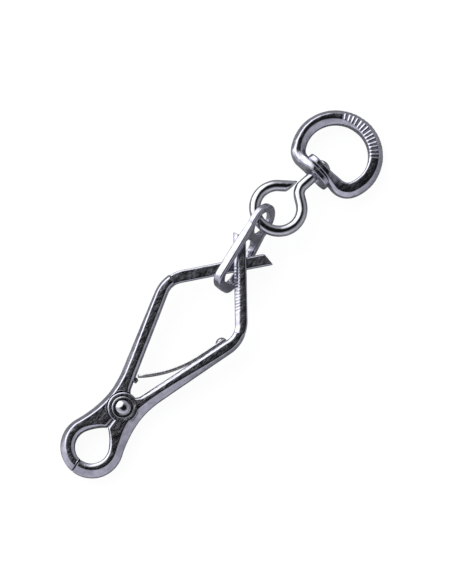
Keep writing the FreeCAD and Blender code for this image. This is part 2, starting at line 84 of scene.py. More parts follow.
PIVOT = Vector(joint("left_arm_hinge")["pos_m"])
ALONG = -Vector(joint("link_slide")["axis"])
OUT = -Vector(joint("left_arm_hinge")["axis"])
ACROSS = OUT.cross(ALONG)
CLAMP = axes(ALONG, ACROSS, OUT, PIVOT)

SHANK = Vector(joint("ring_swivel")["axis"])
EYE_SIDE = -Vector(joint("eye_hinge")["axis"])
EYE_OUT = SHANK.cross(EYE_SIDE)
EYE_POINT = Vector(joint("eye_hinge")["pos_m"])
EYE = axes(SHANK, EYE_SIDE, EYE_OUT, EYE_POINT)
RING = axes(SHANK, EYE_SIDE, EYE_OUT, Vector(joint("ring_swivel")["pos_m"]))


# ---------------------------------------------------------------- outlines

def unit(degrees):
    """Unit vector at an angle from X."""
    return Vector((math.cos(math.radians(degrees)), math.sin(math.radians(degrees))))


def arc(centre, radius, first, last, steps=48):
    turns = [first + (last - first) * k / steps for k in range(steps + 1)]
    return [centre + unit(turn) * radius for turn in turns]


def tangent_arc(start, heading, end, steps=32):
    """Points of the arc that leaves start in a direction and reaches end."""
    chord = end - start
    turn = math.atan2(chord.y, chord.x) - math.radians(heading)
    turn = (turn + math.pi) % (2 * math.pi) - math.pi
    if abs(turn) < 1e-4:
        return [start.lerp(end, k / steps) for k in range(steps + 1)]
    radius = chord.length / (2 * math.sin(turn))
    centre = start + unit(heading + 90) * radius
    first = math.degrees(math.atan2(start.y - centre.y, start.x - centre.x))
    return arc(centre, abs(radius), first, first + 2 * math.degrees(turn), steps)


def spaced(points, count):
    """The same line through count points an equal distance apart."""
    runs = [0.0]
    for a, b in zip(points, points[1:]):
        runs.append(runs[-1] + (b - a).length)
    result = []
    piece = 0
    for k in range(count):
        want = runs[-1] * k / (count - 1)
        while piece < len(points) - 2 and runs[piece + 1] < want:
            piece += 1
        share = (want - runs[piece]) / max(runs[piece + 1] - runs[piece], 1e-9)
        result.append(points[piece].lerp(points[piece + 1], min(max(share, 0), 1)))
    return result


def normals_of(points):
    """Unit normals to the left of a line of points."""
    result = []
    last = len(points) - 1
    for k in range(len(points)):
        step = points[min(k + 1, last)] - points[max(k - 1, 0)]
        step.normalize()
        result.append(Vector((-step.y, step.x)))
    return result


def rounded(corners, soft, steps=4):
    """Closed outline with every corner rounded, and one point in each side's middle."""
    points = []
    for k, corner in enumerate(corners):
        before = corners[k - 1] - corner
        after = corners[(k + 1) % len(corners)] - corner
        first = corner + before.normalized() * min(soft, before.length * 0.45)
        last = corner + after.normalized() * min(soft, after.length * 0.45)
        for step in range(steps + 1):
            t = step / steps
            points.append(first * (1 - t) ** 2 + corner * 2 * t * (1 - t) + last * t * t)
        points.append(corner + after * 0.5)
    return points


def bar_section(width, low, high, cuts, soft):
    """Bar section from u = 0 to width; cuts are (across, deep) at outer and inner front,
    then inner and outer back."""
    outer_front, inner_front, inner_back, outer_back = cuts
    corners = [
        (0, high - outer_front[1]), (outer_front[0], high),
        (width - inner_front[0], high), (width, high - inner_front[1]),
        (width, low + inner_back[1]), (width - inner_back[0], low),
        (outer_back[0], low), (0, low + outer_back[1]),
    ]
    return rounded([Vector(corner) for corner in corners], soft)


# ------------------------------------------------------------------ meshes

def make_object(name, mesh, place):
    """Piece of the object: a part's mesh set at its place in the row frame."""
    mesh.transform(place)
    mesh.shade_smooth()
    piece = bpy.data.objects.new(name, mesh)
    bpy.context.scene.collection.objects.link(piece)
    return piece


def skin(name, rows):
    """Closed mesh through rows of points; every row is one section."""
    count = len(rows[0])
    vertices = [tuple(point) for row in rows for point in row]
    faces = []
    for r in range(len(rows) - 1):
        for k in range(count):
            after = (k + 1) % count
            faces.append((r * count + k, r * count + after,
                          (r + 1) * count + after, (r + 1) * count + k))
    faces.append(tuple(range(count))[::-1])
    faces.append(tuple(range((len(rows) - 1) * count, len(rows) * count)))
    mesh = bpy.data.meshes.new(name)
    mesh.from_pydata(vertices, [], faces)
    return cleaned(mesh)


def cleaned(mesh, weld=0.0, fill=False):
    """Points closer than weld joined, open rims filled if asked, and all faces outwards."""
    shell = bmesh.new()
    shell.from_mesh(mesh)
    if weld:
        bmesh.ops.remove_doubles(shell, verts=shell.verts, dist=weld)
    if fill:
        bmesh.ops.holes_fill(shell, edges=shell.edges)
    bmesh.ops.recalc_face_normals(shell, faces=shell.faces)
    shell.to_mesh(mesh)
    shell.free()
    return mesh


def worked_out(holder):
    """Mesh of an object with its modifiers or curve settings applied."""
    bpy.context.view_layer.update()
    depsgraph = bpy.context.evaluated_depsgraph_get()
    return bpy.data.meshes.new_from_object(holder.evaluated_get(depsgraph))


def planar_rows(middles, sections):
    """Sections (u, z) set across a line in the part's XY plane, u to its left."""
    sides = normals_of(middles)
    rows = []
    for middle, side, section in zip(middles, sides, sections):
        rows.append([(*(middle + side * u), z) for u, z in section])
    return rows


def lathe(name, profile, segments=72):
    """Solid of revolution about the part's Z from (radius, height) points."""
    rows = []
    for k in range(segments):
        turn = 2 * math.pi * k / segments
        rows.append([(r * math.cos(turn), r * math.sin(turn), z) for r, z in profile])
    count = len(profile)
    vertices = [point for row in rows for point in row]
    faces = []
    for k in range(segments):
        ahead = (k + 1) % segments
        for j in range(count - 1):
            faces.append((k * count + j, ahead * count + j,
                          ahead * count + j + 1, k * count + j + 1))
    mesh = bpy.data.meshes.new(name)
    mesh.from_pydata(vertices, [], faces)
    return cleaned(mesh, WELD, fill=True)


def drill(radius, reach, segments=72):
    """Cylinder along Z that cuts a round hole."""
    return lathe("hole", [(0, -reach), (radius, -reach), (radius, reach), (0, reach)], segments)


def dome(radius, base, top, steps=14):
    """Profile points of a spherical dome, from its rim to its pole."""
    rise = top - base
    sphere = (radius**2 + rise**2) / (2 * abs(rise))
    centre = top - math.copysign(sphere, rise)
    span = math.asin(min(radius / sphere, 1))
    points = []
    for k in range(steps + 1):
        turn = span * (1 - k / steps)
        height = centre + math.copysign(sphere * math.cos(turn), rise)
        points.append((sphere * math.sin(turn), height))
    return points


def plate(name, outlines, thick, edge):
    """Flat plate with rounded edges from closed outlines; the later ones are holes."""
    curve = bpy.data.curves.new(name, "CURVE")
    curve.dimensions = "2D"
    curve.fill_mode = "BOTH"
    curve.extrude = thick / 2 - edge
    curve.bevel_depth = edge
    curve.bevel_resolution = 3
    curve.offset = -edge
    for outline in outlines:
        spline = curve.splines.new("POLY")
        spline.points.add(len(outline) - 1)
        for point, place in zip(spline.points, outline):
            point.co = (place.x, place.y, 0, 1)
        spline.use_cyclic_u = True
    holder = bpy.data.objects.new(name, curve)
    bpy.context.scene.collection.objects.link(holder)
    mesh = worked_out(holder)
    bpy.data.objects.remove(holder)
    return cleaned(mesh, PLATE_WELD)


def ripple(mesh, size, height, seed):
    """Forging's own unevenness: smooth noise along the normals, mostly inwards."""
    shift = Vector((seed * 17.3, seed * 5.1, seed * 9.7))
    moves = []
    for vertex in mesh.vertices:
        lift = noise.noise(vertex.co / size + shift) - SURFACE_IN
        moves.append(vertex.normal * lift * height)
    for vertex, move in zip(mesh.vertices, moves):
        vertex.co += move


def combine(mesh, tool, how):
    """Boolean of two meshes in the same frame."""
    body = bpy.data.objects.new("body", mesh)
    cutter = bpy.data.objects.new("cutter", tool)
    for holder in (body, cutter):
        bpy.context.scene.collection.objects.link(holder)
    step = body.modifiers.new("step", "BOOLEAN")
    step.operation = how
    step.solver = "EXACT"
    step.object = cutter
    result = worked_out(body)
    for holder in (body, cutter):
        bpy.data.objects.remove(holder)
    return result


def finish_piece(piece, material, body, node):
    """Material, even normals on flat faces, body and stand-in of one piece."""
    piece.data.materials.clear()
    piece.data.materials.append(material)
    even = piece.modifiers.new("even_normals", "WEIGHTED_NORMAL")
    even.keep_sharp = True
    even.weight = 60
    if body:
        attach(piece, body)
    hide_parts(node)
    return piece


# ---------------------------------------------------------------- jaw arms

HALF_THICK = 3.5
JAW_CENTRE = Vector((-20.4, 0))
JAW_HOLE = 7.1
JAW_OUTER = 13.0
JAW_GAP = 0.12
JAW_LEAVE = 68.0
HOLE_LEAVE = 60.0
THROAT = Vector((-10.3, 0.3))
NECK = Vector((0.7, 8.55))
HANDLE_X = 12.0
HANDLE_SLOPE = 16.6
INNER_SLOPE = 17.9
HANDLE_WIDTH = 6.0
END_SLOPE = 40.0
END_WIDTH = 5.2
OUTER_CORNER = 16.0
INNER_CORNER = 7.0
CROTCH_RUN = 6.3
CROSS_X = 76.7
TIP_X = 86.4
TIP_SLANT = 1.2
STEP_SHARE = 0.6
LAP_GAP = 0.1
LAP_RADIUS = 6.5
LAP_CLEAR = 0.2
LAP_RIM = 0.35
LAP_SINK = 0.01
LAP_HIGH = 6.0
LAP_EDGE_SHARE = 0.8
RIVET_RADIUS = 2.2
RIVET_CLEAR = 0.05
TIP_BEVEL = 0.3
TIP_BEVEL_SHARE = 0.8
EDGE_SOFT = 0.45
NECK_STRETCH = 1
CORNER_STRETCH = 3
END_STRETCH = 4

# bevels (across, deep): outer front, inner front, inner back, outer back
JAW_TIP_CUTS = ((2.6, 1.6), (1.4, 0.9), (1.3, 0.8), (3.3, 1.7))
JAW_CUTS = ((1.8, 2.2), (1.4, 1.1), (0.9, 0.8), (2.8, 2.6))
NECK_CUTS = ((1.9, 2.4), (0.5, 0.5), (0.5, 0.5), (3.6, 3.0))
HANDLE_CUTS = ((2.0, 2.0), (1.1, 1.0), (1.4, 1.2), (2.7, 2.6))
CORNER_CUTS = ((1.3, 1.5), (0.9, 0.9), (1.2, 1.0), (0.9, 1.2))
END_CUTS = ((0.5, 0.5), (0.5, 0.5), (2.0, 1.2), (0.4, 0.4))
TIP_CUTS = ((0.5, 0.5), (0.5, 0.5), (1.8, 1.1), (0.4, 0.4))


def corner_points(low, slope, high, end_slope, radius):
    """Tangent points of the rounded corner between two lines through low and high."""
    first = unit(slope)
    second = unit(-end_slope)
    gap = high - low
    spread = first.x * second.y - first.y * second.x
    along = (gap.x * second.y - gap.y * second.x) / spread
    corner = low + first * along
    reach = radius * math.tan(math.radians((slope + end_slope) / 2))
    return corner - first * reach, corner + second * reach


def handle_start():
    """Outer and inner point at which the left arm's straight handle begins."""
    rise = (HANDLE_X - NECK.x) * math.tan(math.radians(HANDLE_SLOPE / 2))
    outer = Vector((HANDLE_X, NECK.y + rise))
    return outer, outer + unit(HANDLE_SLOPE - 90) * HANDLE_WIDTH


def arm_stretches():
    """Outer and inner line of each stretch of the left arm, with its station count."""
    outer_start, inner_start = handle_start()
    crotch = inner_start - unit(INNER_SLOPE) * CROTCH_RUN
    half = unit(90 - END_SLOPE) * END_WIDTH / 2
    cross = Vector((CROSS_X, 0))
    outer_corner = corner_points(outer_start, HANDLE_SLOPE, cross + half, END_SLOPE, OUTER_CORNER)
    inner_corner = corner_points(inner_start, INNER_SLOPE, cross - half, END_SLOPE, INNER_CORNER)
    down = unit(-END_SLOPE)
    tip_high = cross + half + down * ((TIP_X - cross.x - half.x) / down.x)
    tip_low = cross - half + down * ((TIP_X - TIP_SLANT - cross.x + half.x) / down.x)
    hole_leave = JAW_CENTRE + unit(HOLE_LEAVE) * JAW_HOLE
    jaw_leave = JAW_CENTRE + unit(JAW_LEAVE) * JAW_OUTER
    opening = math.degrees(math.asin(JAW_GAP / JAW_HOLE))
    throat_arc = tangent_arc(hole_leave, HOLE_LEAVE - 90, THROAT)
    lap_edge = Vector((LAP_RADIUS * LAP_EDGE_SHARE, THROAT.y))
    return [
        (arc(JAW_CENTRE, JAW_OUTER, 180 - opening / 2, JAW_LEAVE),
         arc(JAW_CENTRE, JAW_HOLE, 180 - opening, HOLE_LEAVE), 60),
        (tangent_arc(jaw_leave, JAW_LEAVE - 90, NECK) + tangent_arc(NECK, 0, outer_start)[1:],
         throat_arc + [lap_edge, crotch, inner_start], 64),
        ([outer_start, outer_corner[0]], [inner_start, inner_corner[0]], 44),
        (tangent_arc(outer_corner[0], HANDLE_SLOPE, outer_corner[1]),
         tangent_arc(inner_corner[0], INNER_SLOPE, inner_corner[1]), 40),
        ([outer_corner[1], tip_high], [inner_corner[1], tip_low], 90),
    ]


def ease(share):
    """Smooth step from 0 to 1."""
    return share * share * (3 - 2 * share)


def mixed(first, last, share):
    """Bevels part of the way from one set to another."""
    return tuple(tuple(a + (b - a) * share for a, b in zip(p, q)) for p, q in zip(first, last))


MARK_PITCH = 1.15
MARK_SHARE = 0.45
MARK_DEEP = 0.3
MARK_FROM = 0.12
MARK_TO = 0.62


def arm_rows(marked):
    """Rows of the forging; a marked arm has a row of plain notches on its end's back bevel."""
    keys = (JAW_TIP_CUTS, JAW_CUTS, HANDLE_CUTS, CORNER_CUTS, END_CUTS, TIP_CUTS)
    rows = []
    for number, (outer, inner, count) in enumerate(arm_stretches()):
        outers = spaced(outer, count)
        inners = spaced(inner, count)
        for k, (a, b) in enumerate(zip(outers, inners)):
            if number and not k:
                continue
            share = k / (count - 1)
            cuts = mixed(keys[number], keys[number + 1], ease(share))
            if number == NECK_STRETCH:
                swell = math.sin(math.pi * share) ** 2
                cuts = mixed(cuts, NECK_CUTS, swell)
            high = HALF_THICK
            if number == CORNER_STRETCH:
                high = HALF_THICK if share < STEP_SHARE else -LAP_GAP
                cuts = mixed(CORNER_CUTS, END_CUTS, float(share >= STEP_SHARE))
            if number == END_STRETCH:
                high = -LAP_GAP
                length = (outers[-1] - outers[0]).length
                notched = marked and MARK_FROM < share < MARK_TO
                if notched and (share * length / MARK_PITCH) % 1 < MARK_SHARE:
                    across, deep = cuts[2]
                    cuts = (cuts[0], cuts[1], (across + MARK_DEEP, deep + MARK_DEEP), cuts[3])
            width = (b - a).length
            section = bar_section(width, -HALF_THICK, high, cuts, EDGE_SOFT)
            step = (b - a) / width
            rows.append([(*(a + step * u), z) for u, z in section])
    return rows


def bevelled_ends(rows):
    """Small bevel at both ends of a skinned bar."""
    for end, inward in ((0, 1), (-1, -2)):
        middle = sum((Vector(point) for point in rows[end]), Vector()) / len(rows[end])
        beyond = Vector(rows[end][0]) - Vector(rows[inward][0])
        beyond.z = 0
        face = []
        for point in rows[end]:
            away = Vector(point) - middle
            face.append(tuple(middle + away * (1 - TIP_BEVEL / away.length)))
        step = beyond.normalized() * min(TIP_BEVEL, beyond.length * TIP_BEVEL_SHARE)
        rows[end] = [tuple(Vector(point) - step) for point in rows[end]]
        rows.insert(0 if end == 0 else len(rows), face)
    return rows


def arm_mesh(name, marked, seed):
    """Forging with its half lap recess, its round lap boss and the rivet's hole."""
    mesh = skin(name, bevelled_ends(arm_rows(marked)))
    ripple(mesh, 3.2, 0.035, seed)
    recess = lathe("recess", [(0, -LAP_GAP), (LAP_RADIUS + LAP_CLEAR, -LAP_GAP),
                              (LAP_RADIUS + LAP_CLEAR, LAP_HIGH), (0, LAP_HIGH)])
    mesh = combine(mesh, recess, "DIFFERENCE")
    low = LAP_SINK - HALF_THICK
    top = -LAP_GAP - LAP_SINK
    disc = lathe("disc", [(0, low), (LAP_RADIUS - 2 * LAP_RIM, low),
                          (LAP_RADIUS - LAP_RIM / 2, low + LAP_RIM / 2),
                          (LAP_RADIUS, low + 2 * LAP_RIM), (LAP_RADIUS, top), (0, top)], 96)
    mesh = combine(mesh, disc, "UNION")
    return combine(mesh, drill(RIVET_RADIUS + RIVET_CLEAR, THROUGH), "DIFFERENCE")


LUG_X = 12.2
LUG_WIDE = 2.0
LUG_LOW = 2.6
LUG_HIGH = 4.6
LEAF_WIDE = 5.0


def lug_mesh():
    """Keeper block for the spring's tip, on the left handle's inner side."""
    half = LUG_WIDE / 2
    outline = [Vector((LUG_X - half, LUG_LOW)), Vector((LUG_X + half, LUG_LOW)),
               Vector((LUG_X + half, LUG_HIGH)), Vector((LUG_X - half, LUG_HIGH))]
    return plate("lug", [rounded(outline, 0.5)], LEAF_WIDE, 0.3)


def make_arms():
    left = combine(arm_mesh("left_arm", False, 1), lug_mesh(), "UNION")
    left = make_object("left_arm", left, CLAMP)
    finish_piece(left, FORGED, "left_arm", "left_jaw_arm")
    right = arm_mesh("right_arm", True, 2)
    right = make_object("right_arm", right, CLAMP @ Matrix.Rotation(math.pi, 4, "X"))
    finish_piece(right, FORGED, "right_arm", "right_jaw_arm")


# ------------------------------------------------------------- rivets, spring

WASHER_LOW = 3.55
WASHER_HIGH = 4.25
WASHER_RADIUS = 4.5
HEAD_LOW = 4.3
HEAD_RADIUS = 2.9
HEAD_RISE = 1.6
HEAD_LIP = 0.35
HEAD_BEVEL = (0.15, 0.12)
WASHER_BEVEL = 0.2
TAIL_RADIUS = 3.3
TAIL_RISE = 1.0
TAIL_SEAT = 3.55


def make_pivot():
    low = -TAIL_SEAT
    profile = dome(TAIL_RADIUS, low, low - TAIL_RISE)[::-1]
    profile += [(RIVET_RADIUS, low), (RIVET_RADIUS, HEAD_LOW),
                (HEAD_RADIUS - HEAD_BEVEL[0], HEAD_LOW), (HEAD_RADIUS, HEAD_LOW + HEAD_BEVEL[1])]
    profile += dome(HEAD_RADIUS, HEAD_LOW + HEAD_LIP, HEAD_LOW + HEAD_RISE)
    mesh = lathe("rivet", profile)
    ripple(mesh, 1.6, 0.12, 3)
    rivet = make_object("rivet", mesh, CLAMP)
    finish_piece(rivet, BRIGHT, "pivot", "pivot_rivet")
    inner = RIVET_RADIUS + RIVET_CLEAR
    shoulder = WASHER_RADIUS - WASHER_BEVEL
    mesh = lathe("washer", [(inner, WASHER_LOW), (shoulder, WASHER_LOW),
                            (WASHER_RADIUS, WASHER_LOW + WASHER_BEVEL),
                            (WASHER_RADIUS, WASHER_HIGH - WASHER_BEVEL),
                            (shoulder, WASHER_HIGH), (inner, WASHER_HIGH), (inner, WASHER_LOW)])
    washer = make_object("washer", mesh, CLAMP)
    finish_piece(washer, BRIGHT, "pivot", "pivot_washer")


LEAF_THICK = 1.0
LEAF_GAP = 0.15
LEAF_FOOT_X = 48.4
LEAF_BEND_X = 36.0
LEAF_TIP = Vector((14.1, 3.65))
LEAF_RIVET_X = 46.2
LEAF_RIVET_RADIUS = 1.2
LEAF_RIVET_DEPTH = 3.0
LEAF_HEAD_RADIUS = 2.3
LEAF_HEAD_RISE = 1.5
LEAF_HEAD_BEVEL = (0.1, 0.12)
LEAF_RIVET_SINK = 0.2
LEAF_RIVET_CLEAR = 0.03
LEAF_RIVET_LIFT = 0.05
LEAF_THROUGH = 4.0
LEAF_SOFT = 0.28
LEAF_STATIONS = 90
LEAF_TAPER = 0.25
LEAF_TAPER_STATIONS = 8


def right_inner(x_value):
    """Point on the inner side of the right handle."""
    start = handle_start()[1]
    return Vector((x_value, -start.y - (x_value - start.x) * math.tan(math.radians(INNER_SLOPE))))


def leaf_seat():
    """Matrix of the spring's rivet: Z leaves the right handle's inner side at its middle."""
    seat = Matrix.Translation((*right_inner(LEAF_RIVET_X), 0))
    outwards = Vector((*unit(90 - INNER_SLOPE), 0))
    return seat @ Vector((0, 0, 1)).rotation_difference(outwards).to_matrix().to_4x4()


def make_leaf():
    lift = unit(90 - INNER_SLOPE) * (LEAF_THICK / 2 + LEAF_GAP)
    foot = right_inner(LEAF_FOOT_X) + lift
    bend = right_inner(LEAF_BEND_X) + lift
    line = spaced([foot] + tangent_arc(bend, 180 - INNER_SLOPE, LEAF_TIP), LEAF_STATIONS)
    sections = []
    half = LEAF_THICK / 2
    for k in range(LEAF_STATIONS):
        end = min(k, LEAF_STATIONS - 1 - k) / LEAF_TAPER_STATIONS
        wide = LEAF_WIDE * (1 - LEAF_TAPER * max(0, 1 - end) ** 2)
        corners = [Vector((-half, -wide / 2)), Vector((half, -wide / 2)),
                   Vector((half, wide / 2)), Vector((-half, wide / 2))]
        sections.append(rounded(corners, LEAF_SOFT))
    mesh = skin("spring", planar_rows(line, sections))
    hole = drill(LEAF_RIVET_RADIUS, LEAF_THROUGH, 32)
    hole.transform(leaf_seat())
    mesh = combine(mesh, hole, "DIFFERENCE")
    spring = make_object("spring_strip", mesh, CLAMP)
    finish_piece(spring, SPRING, None, "leaf_spring")
    end = CLAMP @ Vector((*line[LEAF_STATIONS // 2], 0))
    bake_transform(spring)


def make_leaf_rivet():
    radius = LEAF_RIVET_RADIUS - LEAF_RIVET_CLEAR
    low = LEAF_RIVET_SINK - LEAF_RIVET_DEPTH
    seat_high = LEAF_THICK + LEAF_GAP + LEAF_RIVET_LIFT
    profile = [(0, low), (radius, low), (radius, seat_high),
               (LEAF_HEAD_RADIUS - LEAF_HEAD_BEVEL[0], seat_high)]
    profile += dome(LEAF_HEAD_RADIUS, seat_high + LEAF_HEAD_BEVEL[1], seat_high + LEAF_HEAD_RISE)
    mesh = lathe("spring_rivet", profile, 48)
    mesh.transform(leaf_seat())
    rivet = make_object("spring_rivet", mesh, CLAMP)
    finish_piece(rivet, BRIGHT, "right_arm", "leaf_rivet")


# -------------------------------------------------------------------- link

LINK_THICK = 3.7
LINK_FOOT = -32.4
LINK_SLOT = (-28.6, -8.5)
LINK_SLOT_WIDE = 11.0
LINK_WIDE = 16.9
LINK_FOOT_RADIUS = 6.0
LINK_SLOT_RADIUS = 3.8
LINK_SHOULDER = -12.0
LINK_HOLE = 5.2
LINK_EYE = 8.6
LINK_JOIN = 112.0
LINK_EDGE = 0.8
LINK_THIN = 0.72
LINK_THIN_RUN = 6.0
LINK_YAW = 7.6
LINK_ROLL = 21.0
LINK_RISE = 1.13


def link_place():
    """Matrix of the link: its eye at the swivel eye's joint, tilted along the crossed ends."""
    turns = (Matrix.Rotation(math.radians(LINK_YAW), 4, "Z")
             @ Matrix.Rotation(math.radians(-LINK_RISE), 4, "Y")
             @ Matrix.Rotation(math.radians(90 - LINK_ROLL), 4, "X"))
    return Matrix.Translation(EYE_POINT - PIVOT) @ CLAMP @ turns


def make_link():
    half = LINK_WIDE / 2
    foot = LINK_FOOT + LINK_FOOT_RADIUS
    side = half - LINK_FOOT_RADIUS
    outline = arc(Vector((foot, side)), LINK_FOOT_RADIUS, 90, 180, 16)
    outline += arc(Vector((foot, -side)), LINK_FOOT_RADIUS, 180, 270, 16)
    outline += [Vector((LINK_SHOULDER, -half))]
    outline += arc(Vector((0, 0)), LINK_EYE, -LINK_JOIN, LINK_JOIN, 56)
    outline += [Vector((LINK_SHOULDER, half))]
    near = LINK_SLOT[1] - LINK_SLOT_RADIUS
    far = LINK_SLOT[0] + LINK_SLOT_RADIUS
    side = LINK_SLOT_WIDE / 2 - LINK_SLOT_RADIUS
    slot = []
    for x, y, turn in ((near, side, 0), (far, side, 90), (far, -side, 180), (near, -side, 270)):
        slot += arc(Vector((x, y)), LINK_SLOT_RADIUS, turn, turn + 90, 12)
    hole = arc(Vector((0, 0)), LINK_HOLE, 0, 360)[:-1]
    mesh = plate("link_plate", [outline, slot, hole], LINK_THICK, LINK_EDGE)
    for vertex in mesh.vertices:
        share = min(max((vertex.co.x - LINK_SHOULDER) / LINK_THIN_RUN, 0), 1)
        vertex.co.z *= 1 - (1 - LINK_THIN) * ease(share)
    ripple(mesh, 2.5, 0.04, 7)
    piece = make_object("link_plate", mesh, link_place())
    finish_piece(piece, FORGED, "link", "link")


# --------------------------------------------------------------- swivel eye

ROD = 2.4
EYE_RADIUS = 9.8
EYE_DROP = 0.4
EYE_UPPER = 45.0
EYE_LOWER = 30.0
EYE_BEND = 5.0
EYE_SLIT = 0.25
EYE_STATIONS = 230
EYE_CUT_ROWS = 8
EYE_END_BACK = 0.5
EYE_END_SHRINK = 0.12
ROD_POINTS = 32
RING_CENTRE = 34.0
SHANK_IN = 7.7
SHANK_END = EYE_RADIUS + RING_CENTRE - SHANK_IN
EYE_SEAT = ROD + EYE_SLIT
PEEN_RADIUS = 3.5
PEEN_RISE = 2.2
PEEN_LIP = 0.6
PEEN_BEVEL = 0.2


def eye_line():
    """Middle of the rod from the shank's end round the eye, and its last straight's heading."""
    centre = Vector((EYE_RADIUS, -EYE_DROP))
    top = centre + unit(EYE_UPPER) * EYE_RADIUS
    bottom = centre + unit(-EYE_LOWER) * EYE_RADIUS
    heading = 90 - EYE_LOWER
    corner = bottom + unit(heading) * (-bottom.y / math.sin(math.radians(heading)))
    reach = EYE_BEND * math.tan(math.radians(heading / 2))
    leave = corner - unit(heading) * reach
    join = corner + Vector((reach, 0))
    limb = unit(EYE_UPPER - 90)
    line = [Vector((SHANK_END, 0))] + tangent_arc(join, 180, leave)
    line += arc(centre, EYE_RADIUS, -EYE_LOWER, EYE_UPPER - 360, 110)
    line += [top + limb * ((top.y - EYE_SEAT) / -limb.y)]
    return spaced(line, EYE_STATIONS), limb


def make_eye():
    line, limb = eye_line()
    ring = [unit(360 * k / ROD_POINTS) * ROD for k in range(ROD_POINTS)]
    rows = planar_rows(line, [ring] * len(line))
    cut = []
    for x, y, z in rows[-1]:
        run = (y - EYE_SEAT) / -limb.y
        cut.append((x + limb.x * run, EYE_SEAT, z))
    backed = [tuple(Vector(point) - Vector((*limb, 0)) * EYE_END_BACK) for point in cut]
    middle = sum((Vector(point) for point in cut), Vector()) / len(cut)
    small = [tuple(Vector(point).lerp(middle, EYE_END_SHRINK)) for point in cut]
    mesh = skin("eye", rows[:-EYE_CUT_ROWS] + [backed, small])
    ripple(mesh, 2.5, 0.05, 4)
    profile = [(0, 0), (PEEN_RADIUS - PEEN_BEVEL, 0), (PEEN_RADIUS, PEEN_BEVEL)]
    profile += dome(PEEN_RADIUS, PEEN_LIP, PEEN_RISE)
    peen = lathe("peen", profile, 48)
    ripple(peen, 1.2, 0.15, 5)
    peen.transform(Matrix.Translation((SHANK_END, 0, 0)) @ Matrix.Rotation(math.pi / 2, 4, "Y"))
    mesh = combine(mesh, peen, "UNION")
    eye = make_object("eye_rod", mesh, EYE)
    finish_piece(eye, BRIGHT, "eye", "swivel_eye")


# --------------------------------------------------------------- swivel ring

RING_OUTER = 19.3
RING_INNER = 13.1
RING_THICK = 5.6
STRAP_FACE = -13.8
STRAP_THICK = 3.0
STRAP_SPLIT = 0.12
STRAP_WIDE = 11.6
STRAP_END = 7.2
STRAP_BEND = 6.0
COUNTERSINK = 4.2
SHANK_HOLE = 2.5
# bevels of the ring's far end and of its left and right sides
RING_CUTS = ((1.5, 1.3), (1.0, 0.9), (1.6, 1.2), (1.6, 1.2))
RING_LEFT_CUTS = ((1.7, 2.1), (2.6, 2.2), (1.6, 1.2), (1.6, 1.2))
RING_RIGHT_CUTS = ((1.9, 2.0), (0.6, 0.6), (1.6, 1.2), (1.6, 1.2))
STRAP_CUTS = ((0.5, 0.8), (0.5, 0.8), (0.5, 0.8), (0.5, 0.8))
RING_MARKS = (-50.0, 42.0)
RING_MARK_PITCH = 6.0
RING_MARK_SHARE = 0.42
RING_MARK_DEEP = 0.3
RING_SOFT = 0.5
RING_STATIONS = 420
# shares of the bar's length: flat strap, change to full bar, and round of the strap's end
STRAP_RUN = 0.075
STRAP_CHANGE = 0.10
STRAP_ROUND = 0.045
STRAP_END_SHARE = 0.35


def leave_angle(line_x, radius):
    """Angle at which the bar's middle leaves its circle to run along x = line_x."""
    return math.degrees(math.acos((line_x + STRAP_BEND) / (radius - STRAP_BEND)))


def ring_line():
    """Middle of the bar from the inner strap's end round the ring to the outer strap's end."""
    middle = (RING_OUTER + RING_INNER) / 2
    outer_x = STRAP_FACE + STRAP_THICK / 2 - STRAP_SPLIT / 2
    inner_x = outer_x + STRAP_THICK + STRAP_SPLIT / 2
    upper = leave_angle(outer_x, middle)
    lower = leave_angle(inner_x, middle)
    upper_in = Vector((outer_x, 0)) + Vector((0, (middle - STRAP_BEND) * math.sin(math.radians(upper))))
    lower_in = Vector((inner_x, 0)) - Vector((0, (middle - STRAP_BEND) * math.sin(math.radians(lower))))
    start = unit(-lower) * middle
    line = [Vector((inner_x, STRAP_END)), lower_in]
    line += tangent_arc(lower_in, 270, start, 20)[1:]
    line += arc(Vector((0, 0)), middle, -lower, upper, 150)[1:]
    line += tangent_arc(unit(upper) * middle, upper + 90, upper_in, 20)[1:]
    line += [Vector((outer_x, -STRAP_END))]
    return spaced(line, RING_STATIONS)


def ring_section(point, run):
    """Bar section at a point, run being its share of the length from the nearer end."""
    turn = math.degrees(math.atan2(point.y, point.x))
    flat = 1 - ease(min(max((run - STRAP_RUN) / STRAP_CHANGE, 0), 1))
    wide = RING_OUTER - RING_INNER
    wide += (STRAP_THICK - STRAP_SPLIT - wide) * flat
    tall = RING_THICK + (STRAP_WIDE - RING_THICK) * flat
    tip = min(run / STRAP_ROUND, 1)
    tall *= STRAP_END_SHARE + (1 - STRAP_END_SHARE) * math.sqrt(1 - (1 - tip) ** 2)
    side = math.sin(math.radians(turn))
    cuts = mixed(RING_CUTS, RING_LEFT_CUTS if side > 0 else RING_RIGHT_CUTS, abs(side))
    cuts = mixed(cuts, STRAP_CUTS, flat)
    high = tall / 2
    marked = RING_MARKS[0] < turn < RING_MARKS[1]
    if marked and (turn / RING_MARK_PITCH) % 1 < RING_MARK_SHARE:
        high -= RING_MARK_DEEP
    section = bar_section(wide, -tall / 2, high, cuts, RING_SOFT)
    return [(u - wide / 2, z) for u, z in section]


